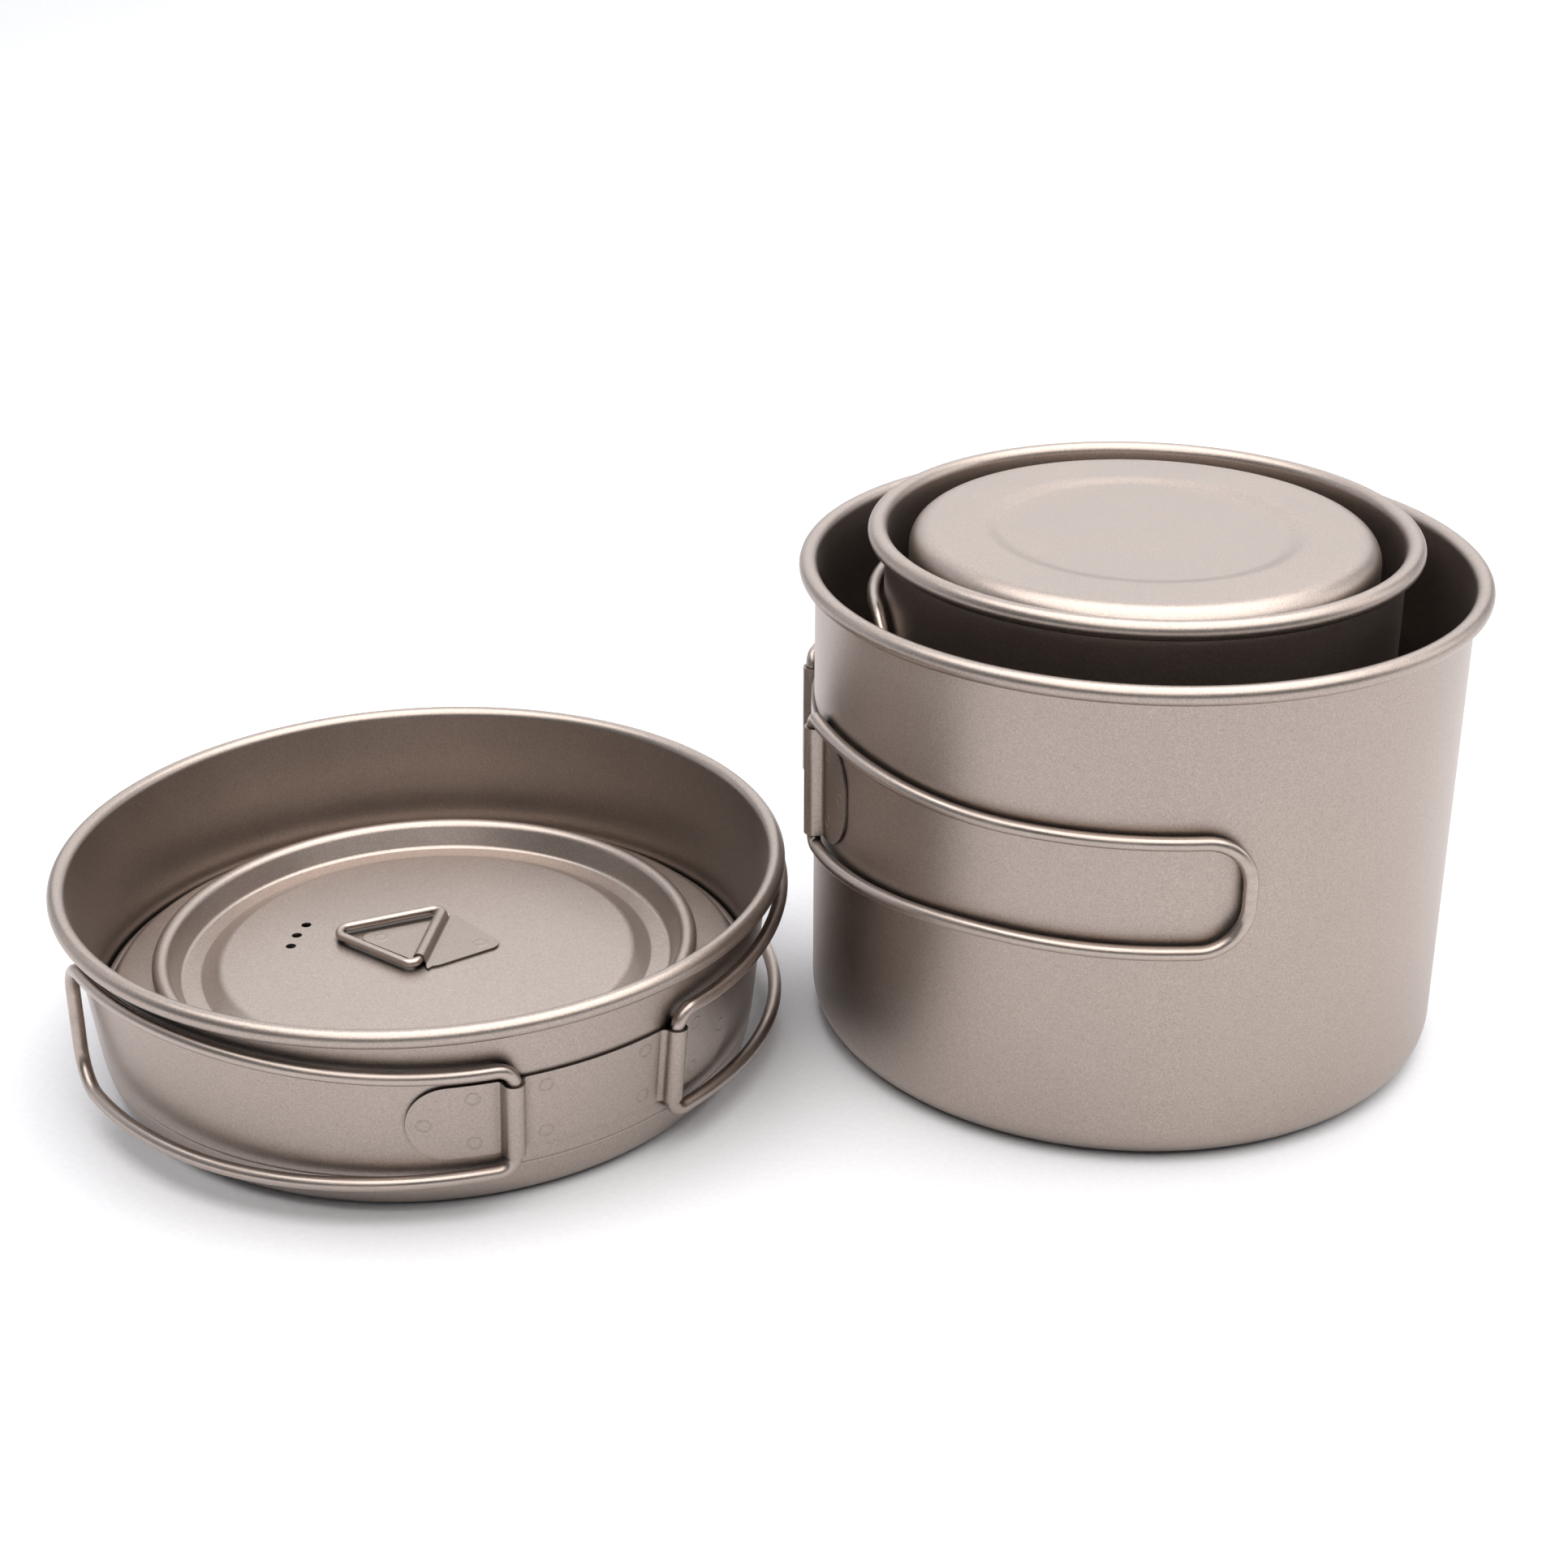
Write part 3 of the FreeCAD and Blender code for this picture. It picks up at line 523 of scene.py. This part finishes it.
def handle_piece(node, vessel, side, standoff):
    """Wire loop: out of the barrel's top, along the wall, round its end and back to the barrel's foot."""
    size = HANDLES[vessel]
    strap = STRAPS[vessel]
    flare = math.radians(VESSELS[vessel]["flare"])
    axis = wall_radius(vessel, strap["middle"]) + (barrel_radius(vessel) + REST_GAP) / math.cos(flare)
    length = axis * math.radians(size["sweep"])
    barrel_end = strap["height"] / 2
    bend = size["hinge"] - barrel_end
    corner = size["corner"]
    upper = line((0, 0.04 * barrel_end), (0, barrel_end), 4)
    upper += arc(bend, barrel_end, bend, 180, 90, 10)[1:]
    leg = length - corner - bend
    for step in range(1, 61):
        s = bend + leg * step / 60
        narrowing = smooth((s - bend) / size["taper"])
        upper.append((s, size["hinge"] + (size["end"] - size["hinge"]) * narrowing))
    upper += arc(length - corner, size["end"] - corner, corner, 90, 0, 16)[1:]
    bar = size["end"] - corner
    flat = upper + line((length, bar), (length, -bar), 6)
    flat += [(s, -z) for s, z in reversed(upper[:-1])]
    hinge = side * math.radians(strap["barrel"])
    path = []
    for s, z in flat:
        azimuth = hinge + side * s / axis
        share = s / length
        radius = axis + standoff * share + z * math.tan(flare) * (1 - smooth(share))
        height = z + size["rise"] * smooth(share)
        path.append((radius * math.cos(azimuth), radius * math.sin(azimuth), height))
    return tube(node + "_wire", path, size["wire"], strap_place(vessel))


# ---------------------------------------------------------------- bail of the vented lid


def bail_place(height):
    x, y = node_centre("vented_lid")
    turn = Matrix.Rotation(math.radians(BAIL["azimuth"]), 4, "Z")
    spot = (x + BAIL["x"] * MM, y + BAIL["y"] * MM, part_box("vented_lid")[0].z + height * MM)
    return Matrix.Translation(spot) @ turn


def bail_axis():
    return BAIL["wire"] + PLAY + BAIL_STRAP["gauge"]


def bail_piece():
    half, reach = BAIL["half"], BAIL["reach"]
    corners = [(0, 0.4), (0, half), (reach, 0), (0, -half), (0, -0.4)]
    flat = fillet_chain(corners, [BAIL["bend"], BAIL["apex"], BAIL["bend"]], 14)
    path = [(x, y, 0) for x, y in flat]
    return tube("vented_lid_bail_wire", path, BAIL["wire"], bail_place(LID["rise"] + bail_axis()))


def bail_strap_piece():
    """Diamond of thin sheet, rolled up over the bail's wire. The blank is widest at the foot of the roll
    that faces away from the bail's apex."""
    gauge = BAIL_STRAP["gauge"]
    lying = gauge / 2 + SEAT
    axis = bail_axis()
    round_wire = BAIL["wire"] + PLAY + gauge / 2
    soft = 1.2
    rise = math.acos((lying + soft - axis) / (soft + round_wire))
    foot = (soft + round_wire) * math.sin(rise)
    roll = []
    for step in range(9):
        angle = rise * step / 8
        roll.append((foot - soft * math.sin(angle), lying + soft * (1 - math.cos(angle))))
    roll += arc(0, axis, round_wire, 90 - math.degrees(rise), 180, 24)[1:]
    roll += line(roll[-1], (-round_wire, lying + 0.35), 2)
    roll += arc(-round_wire - 0.35, lying + 0.35, 0.35, 0, -90, 6)[1:]
    # seen along the barrel, the apex of the bail is on the right
    over = [(-x, y) for x, y in roll]
    tip = BAIL_STRAP["far"] - BAIL_STRAP["tip"]
    away = [(x, lying) for x in easing(-tip, over[0][0])]
    towards = [(x, lying) for x in easing(tip, over[-1][0])[::-1]]
    path = away + over[1:] + towards[1:]
    run = [0.0]
    for a, b in zip(path, path[1:]):
        run.append(run[-1] + math.dist(a, b))
    foot_at = run[len(away) - 1]
    widths = []
    for at in run:
        # cut back where the sheet climbs over the wire, so that the bail's corners turn freely
        cap = BAIL_STRAP["near"] - BAIL_STRAP["cut"] * smooth((at - foot_at) / 1.4)
        widths.append(min(blank_half(at, foot_at, run[-1]), cap))

    def wrap(along, out, across):
        return along, across, out

    return ribbon("vented_lid_strap_sheet", path, widths, gauge, wrap, bail_place(LID["rise"]))


def easing(tip, foot, count=30):
    """Positions from a tip of the diamond to the foot of the roll, close together at the tip."""
    return [foot + (tip - foot) * math.cos(math.pi / 2 * step / count) for step in range(count + 1)]


def blank_half(at, widest, length):
    """Half width of the rounded diamond blank at a distance along it."""
    corner = BAIL_STRAP["corner"]
    reach = widest if at < widest else length - widest
    gone = abs(at - widest)
    slope = math.atan2(BAIL_STRAP["near"], reach + BAIL_STRAP["tip"])
    centre = reach - corner
    if gone > centre + corner * math.sin(slope):
        return math.sqrt(max(corner * corner - (gone - centre) ** 2, 0.0))
    edge = corner / math.cos(slope) + (centre - gone) * math.tan(slope)
    crown = 0.8 * math.exp(-(gone / 1.3) ** 2)
    return edge - crown


def lid_marks():
    """Weld marks of the lid's strap."""
    vertices = []
    faces = []
    for side in (-1, 1):
        place = Matrix.Translation((side * BAIL_STRAP["weld"], 0, BAIL_STRAP["gauge"] + SEAT))
        add_dish(vertices, faces, place)
    return new_piece("vented_lid_weld_marks", vertices, faces, bail_place(LID["rise"]))


def cut_vents(piece):
    """Drills the vent holes through the lid."""
    vertices = []
    faces = []
    sides = 32
    for index in (-1, 0, 1):
        angle = math.radians(VENTS["azimuth"] + index * VENTS["pitch"])
        x, y = VENTS["circle"] * math.cos(angle), VENTS["circle"] * math.sin(angle)
        first = len(vertices)
        for z in (-5, 10):
            for step in range(sides):
                turn = 2 * math.pi * step / sides
                across = VENTS["radius"] * math.cos(turn)
                along = VENTS["radius"] * math.sin(turn)
                vertices.append((x + across, y + along, z))
        faces.append(tuple(range(first, first + sides))[::-1])
        faces.append(tuple(range(first + sides, first + 2 * sides)))
        for step in range(sides):
            nxt = (step + 1) % sides
            faces.append((first + step, first + nxt, first + sides + nxt, first + sides + step))
    drill = new_piece("drill", vertices, faces, PLACES["vented_lid"])
    cut = piece.modifiers.new("vents", "BOOLEAN")
    cut.operation = "DIFFERENCE"
    cut.solver = "EXACT"
    cut.object = drill
    bpy.context.view_layer.update()
    graph = bpy.context.evaluated_depsgraph_get()
    mesh = bpy.data.meshes.new_from_object(piece.evaluated_get(graph))
    mesh.set_sharp_from_angle(angle=math.radians(40))
    piece.modifiers.clear()
    piece.data = mesh
    bpy.data.objects.remove(drill)
    return piece


# ---------------------------------------------------------------- materials


def titanium(name, tone=(0.37, 0.317, 0.286), roughness=0.38, grain=1.0, scuffs=0.0, reach=1.3):
    """Sandblasted titanium: fine grain in the bump and the colour, cloudy tone, soft gloss, and painted
    shade that darkens the colour within reach millimetres of a fold or a joint."""
    material = bpy.data.materials.new(name)
    material.use_nodes = True
    nodes = material.node_tree.nodes
    links = material.node_tree.links
    shader = nodes["Principled BSDF"]
    shader.inputs["Metallic"].default_value = 1.0
    where = nodes.new("ShaderNodeTexCoord").outputs["Object"]

    def noise(scale, detail, rough=0.5):
        node = nodes.new("ShaderNodeTexNoise")
        node.inputs["Scale"].default_value = scale
        node.inputs["Detail"].default_value = detail
        node.inputs["Roughness"].default_value = rough
        links.new(where, node.inputs["Vector"])
        return node.outputs["Fac"]

    def spread(value, low, high, start=0.3, stop=0.7):
        node = nodes.new("ShaderNodeMapRange")
        node.inputs["From Min"].default_value = start
        node.inputs["From Max"].default_value = stop
        node.inputs["To Min"].default_value = low
        node.inputs["To Max"].default_value = high
        links.new(value, node.inputs["Value"])
        return node.outputs["Result"]

    def times(first, second):
        node = nodes.new("ShaderNodeMath")
        node.operation = "MULTIPLY"
        links.new(first, node.inputs[0])
        links.new(second, node.inputs[1])
        return node.outputs["Value"]

    clouds = noise(28.0, 4.0)
    blast = noise(3200.0, 3.0, 0.6)
    speck = noise(900.0, 2.0)
    shade = times(spread(clouds, 0.965, 1.035), spread(blast, 1 - 0.2 * grain, 1 + 0.2 * grain))
    shade = times(shade, spread(speck, 0.98, 1.02))
    # painted shade: ambient occlusion darkens the base colour in folds, joints and gaps between parts
    painted_crevice_shade = nodes.new("ShaderNodeAmbientOcclusion")
    painted_crevice_shade.samples = 8
    painted_crevice_shade.inputs["Distance"].default_value = reach * MM
    shade = times(shade, spread(painted_crevice_shade.outputs["AO"], 0.25, 1.0, 0.4, 0.92))
    tint = nodes.new("ShaderNodeMix")
    tint.data_type = "RGBA"
    tint.blend_type = "MULTIPLY"
    tint.inputs["Factor"].default_value = 1.0
    warm = nodes.new("ShaderNodeMix")
    warm.data_type = "RGBA"
    warm.inputs["A"].default_value = (*tone, 1)
    warm.inputs["B"].default_value = (tone[0] * 1.02, tone[1] * 0.985, tone[2] * 0.95, 1)
    links.new(noise(9.0, 3.0), warm.inputs["Factor"])
    links.new(warm.outputs["Result"], tint.inputs["A"])
    links.new(shade, tint.inputs["B"])
    links.new(tint.outputs["Result"], shader.inputs["Base Color"])
    rough = times(spread(clouds, roughness * 0.94, roughness * 1.06), spread(blast, 0.93, 1.07))
    if scuffs:
        stretch = nodes.new("ShaderNodeMapping")
        stretch.inputs["Scale"].default_value = (60.0, 60.0, 900.0)
        links.new(where, stretch.inputs["Vector"])
        streak = nodes.new("ShaderNodeTexNoise")
        streak.inputs["Scale"].default_value = 1.0
        streak.inputs["Detail"].default_value = 5.0
        links.new(stretch.outputs["Vector"], streak.inputs["Vector"])
        rough = times(rough, spread(streak.outputs["Fac"], 1 - scuffs, 1 + scuffs))
    links.new(rough, shader.inputs["Roughness"])
    bump = nodes.new("ShaderNodeBump")
    bump.inputs["Strength"].default_value = 0.35 * grain
    bump.inputs["Distance"].default_value = 0.00002
    links.new(blast, bump.inputs["Height"])
    links.new(bump.outputs["Normal"], shader.inputs["Normal"])
    return material


SHEET = titanium("titanium_sheet")
# the straps' painted shade reaches farther, 2.6 mm from folds and joints
STRIP = titanium("titanium_strap", tone=(0.36, 0.309, 0.279), reach=2.6)
# darker copy of the strap's titanium for the lid's strap: its darker tone is painted shade
LID_STRIP_PAINTED_SHADE = titanium("titanium_lid_strap_painted_shade", tone=(0.325, 0.279, 0.252))
WIRE = titanium("titanium_wire", tone=(0.40, 0.343, 0.31), roughness=0.35, grain=0.6, scuffs=0.25)


def finish_piece(piece, body, material, slot, *replaced):
    piece.data.materials.clear()
    piece.data.materials.append(material)
    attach(piece, body)
    if replaced:
        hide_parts(*replaced)


# ---------------------------------------------------------------- the set

for vessel, size in VESSELS.items():
    recess = CUP_RECESS if vessel == "cup" else None
    profile = vessel_profile(size, recess)
    if vessel == "pan":
        profile = crease(profile)
    shell = lathe(vessel + "_shell", profile, PLACES[vessel])
    finish_piece(shell, vessel, SHEET, "titanium_sheet", vessel)

lid = cut_vents(lathe("vented_lid_shell", lid_profile(), PLACES["vented_lid"]))
finish_piece(lid, "vented_lid", SHEET, "titanium_sheet", "vented_lid")

for vessel in STRAPS:
    finish_piece(strap_piece(vessel), vessel, STRIP, "titanium_strap", vessel + "_strap")
    finish_piece(weld_marks(vessel), vessel, STRIP, "titanium_strap")

for node, vessel, side, standoff in HANDLE_NODES:
    finish_piece(handle_piece(node, vessel, side, standoff), node, WIRE, "titanium_wire", node)

finish_piece(bail_strap_piece(), "vented_lid", LID_STRIP_PAINTED_SHADE, "titanium_strap", "vented_lid_strap")
finish_piece(lid_marks(), "vented_lid", LID_STRIP_PAINTED_SHADE, "titanium_strap")
finish_piece(bail_piece(), "vented_lid_bail", WIRE, "titanium_wire", "vented_lid_bail")

# ---------------------------------------------------------------- studio


def studio():
    """Seamless white sweep and soft overhead light."""
    profile = [(-1.6, 0)] + line((-1.6, 0), (1.1, 0), 6)
    profile += arc(1.1, 0.9, 0.9, -90, 0, 24)[1:]
    profile += line(profile[-1], (2.0, 2.6), 4)
    vertices = []
    for y, z in profile:
        vertices += [(-2400, y * 1000, z * 1000), (2400, y * 1000, z * 1000)]
    faces = [(2 * i, 2 * i + 1, 2 * i + 3, 2 * i + 2) for i in range(len(profile) - 1)]
    floor = new_piece("sweep", vertices, faces)
    paper = bpy.data.materials.new("white_sweep")
    paper.use_nodes = True
    nodes = paper.node_tree.nodes
    links = paper.node_tree.links
    shader = nodes["Principled BSDF"]
    shader.inputs["Roughness"].default_value = 0.9
    fibre = nodes.new("ShaderNodeTexNoise")
    fibre.inputs["Scale"].default_value = 700.0
    fibre.inputs["Detail"].default_value = 4.0
    links.new(nodes.new("ShaderNodeTexCoord").outputs["Object"], fibre.inputs["Vector"])
    shades = nodes.new("ShaderNodeMix")
    shades.data_type = "RGBA"
    shades.inputs["A"].default_value = (0.66, 0.66, 0.675, 1)
    shades.inputs["B"].default_value = (0.74, 0.74, 0.755, 1)
    links.new(fibre.outputs["Fac"], shades.inputs["Factor"])
    links.new(shades.outputs["Result"], shader.inputs["Base Color"])
    floor.data.materials.append(paper)

    bpy.context.scene.world = studio_world()

    add_light("overhead", (0.1, -0.25, 1.5), (0.0, 0.0, 0), 2.5, 2.4, 62, (1.0, 0.985, 0.965))
    add_light("right", (1.35, 0.1, 0.7), (0.0, 0, 0.05), 0.8, 0.9, 3, (1.0, 0.97, 0.93))
    add_light("back", (0.0, 1.75, 1.1), (0.0, 0.0, 0.05), 3.0, 1.4, 15.5, (0.94, 0.97, 1.0))

    view = bpy.context.scene.view_settings
    view.view_transform = "Standard"
    view.look = "None"
    view.exposure = 0.0


def studio_world():
    """Bright towards the back and overhead, dark towards the room in front."""
    world = bpy.data.worlds.new("studio")
    world.use_nodes = True
    nodes = world.node_tree.nodes
    links = world.node_tree.links
    background = nodes["Background"]
    background.inputs["Color"].default_value = (0.93, 0.96, 1.03, 1)
    split = nodes.new("ShaderNodeSeparateXYZ")
    links.new(nodes.new("ShaderNodeTexCoord").outputs["Generated"], split.inputs["Vector"])
    fade = nodes.new("ShaderNodeMapRange")
    fade.interpolation_type = "SMOOTHSTEP"
    fade.inputs["From Min"].default_value = -0.5
    fade.inputs["From Max"].default_value = 0.5
    fade.inputs["To Min"].default_value = 0.16
    fade.inputs["To Max"].default_value = 1.0
    links.new(split.outputs["Y"], fade.inputs["Value"])
    links.new(fade.outputs["Result"], background.inputs["Strength"])
    return world


def add_light(name, place, target, width, height, power, colour):
    data = bpy.data.lights.new(name, "AREA")
    data.shape = "RECTANGLE"
    data.size = width
    data.size_y = height
    data.energy = power
    data.color = colour
    light = bpy.data.objects.new(name, data)
    light.location = place
    aim = Vector(target) - Vector(place)
    light.rotation_euler = aim.to_track_quat("-Z", "Y").to_euler()
    bpy.context.scene.collection.objects.link(light)


def camera():
    data = bpy.data.cameras.new("camera")
    data.sensor_width = 36
    data.lens = 58.62
    data.clip_start = 0.01
    view = bpy.data.objects.new("camera", data)
    view.location = (-0.0772, -0.5185, 0.2987)
    view.rotation_euler = (math.radians(90 - 25.184), 0, 0)
    bpy.context.scene.collection.objects.link(view)
    bpy.context.scene.camera = view


studio()
camera()
